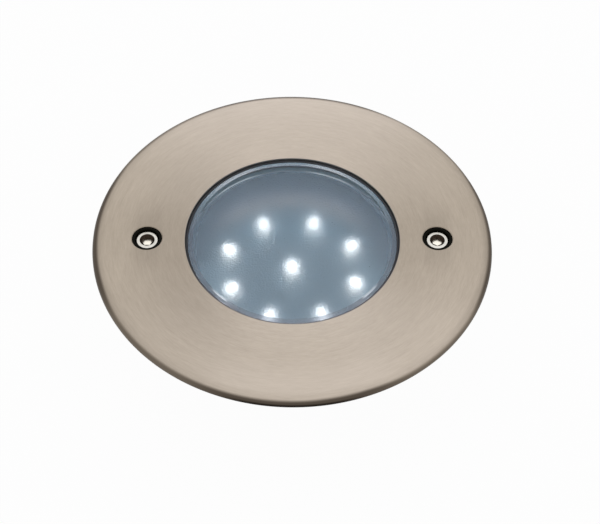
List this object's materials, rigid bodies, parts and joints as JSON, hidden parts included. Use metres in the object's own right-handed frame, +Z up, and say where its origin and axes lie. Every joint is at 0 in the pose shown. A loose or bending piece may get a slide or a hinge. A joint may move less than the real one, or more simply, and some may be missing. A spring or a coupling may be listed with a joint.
{
  "type": "walkover light",
  "caption": "Round recessed walkover light: flat brushed steel bezel held by socket screws over a clear glass lens, light emitting diodes in a dish, cast housing and side cable gland.",
  "frame": {"origin": "middle of the flat base of the housing, on the surface that the light stands on", "axes": "+Z up through the lens, the two bezel screws on the X axis, the cable gland pointing along +Y"},
  "size_m": [0.13, 0.13, 0.044],
  "materials": {
    "bezel_steel": "satin stainless, brushed in circles round the lens, slightly warm",
    "screw_steel": "bright plain stainless",
    "spring_steel": "dull spring steel",
    "brass": "plain turned brass",
    "nylon": "black moulded nylon",
    "rubber": "black silicone rubber, matt",
    "lens": "clear toughened glass, polished arris, lightly frosted underside",
    "reflector": "satin blue-grey, soft sheen",
    "diode": "clear moulded lens, lit cool white",
    "board": "green laminate with a satin mask",
    "terminal": "green moulded plastic",
    "ferrite": "dull dark grey ceramic",
    "copper": "enamelled copper wire",
    "capacitor": "dark sleeve over an aluminium can",
    "epoxy": "black moulded epoxy",
    "red_insulation": "red insulation",
    "black_insulation": "black insulation",
    "housing_metal": "die-cast aluminium under a fine black textured coat"
  },
  "bodies": {
    "housing": {"left_thread_insert": "brass", "right_thread_insert": "brass", "seat_seal": "rubber", "reflector_tray": "reflector", "led_board": "board", "centre_led": "diode", "ring_led_1": "diode", "ring_led_2": "diode", "ring_led_3": "diode", "ring_led_4": "diode", "ring_led_5": "diode", "ring_led_6": "diode", "ring_led_7": "diode", "ring_led_8": "diode", "driver_board": "board", "driver_board_screw_1": "screw_steel", "driver_board_screw_2": "screw_steel", "driver_board_screw_3": "screw_steel", "terminal_block": "terminal", "choke_core": "ferrite", "choke_winding": "copper", "capacitor": "capacitor", "rectifier": "epoxy", "positive_lead": "red_insulation", "negative_lead": "black_insulation", "housing": "housing_metal", "gland_body": "nylon", "gland_sealing_ring": "rubber", "gland_seal": "rubber", "gland_nut": "nylon"},
    "glass": {"lens_glass": "lens", "lens_gasket": "rubber"},
    "bezel": {"bezel": "bezel_steel", "left_screw_bush": "nylon", "right_screw_bush": "nylon"},
    "left_washer": {"left_spring_washer": "spring_steel"},
    "left_screw": {"left_bezel_screw": "screw_steel"},
    "right_washer": {"right_spring_washer": "spring_steel"},
    "right_screw": {"right_bezel_screw": "screw_steel"}
  },
  "joints": [
    {"name": "glass_lift", "type": "slide", "parent": "housing", "child": "glass", "axis": [0, 0, 1], "range_m": [0, 0.015]},
    {"name": "bezel_lift", "type": "slide", "parent": "glass", "child": "bezel", "axis": [0, 0, 1], "range_m": [0, 0.03]},
    {"name": "left_screw_travel", "type": "slide", "parent": "bezel", "child": "left_washer", "axis": [0, 0, 1], "range_m": [0, 0.00665]},
    {"name": "left_screw_turn", "type": "hinge", "parent": "left_washer", "child": "left_screw", "pos_m": [-0.0473, 0, 0.0389], "axis": [0, 0, 1], "range_deg": [0, 3420]},
    {"name": "right_screw_travel", "type": "slide", "parent": "bezel", "child": "right_washer", "axis": [0, 0, 1], "range_m": [0, 0.00665]},
    {"name": "right_screw_turn", "type": "hinge", "parent": "right_washer", "child": "right_screw", "pos_m": [0.0473, 0, 0.0389], "axis": [0, 0, 1], "range_deg": [0, 3420]}
  ],
  "couplings": [
    {"joint": "left_screw_turn", "follows": "left_screw_travel", "rad_per_m": 8976},
    {"joint": "right_screw_turn", "follows": "right_screw_travel", "rad_per_m": 8976}
  ]
}
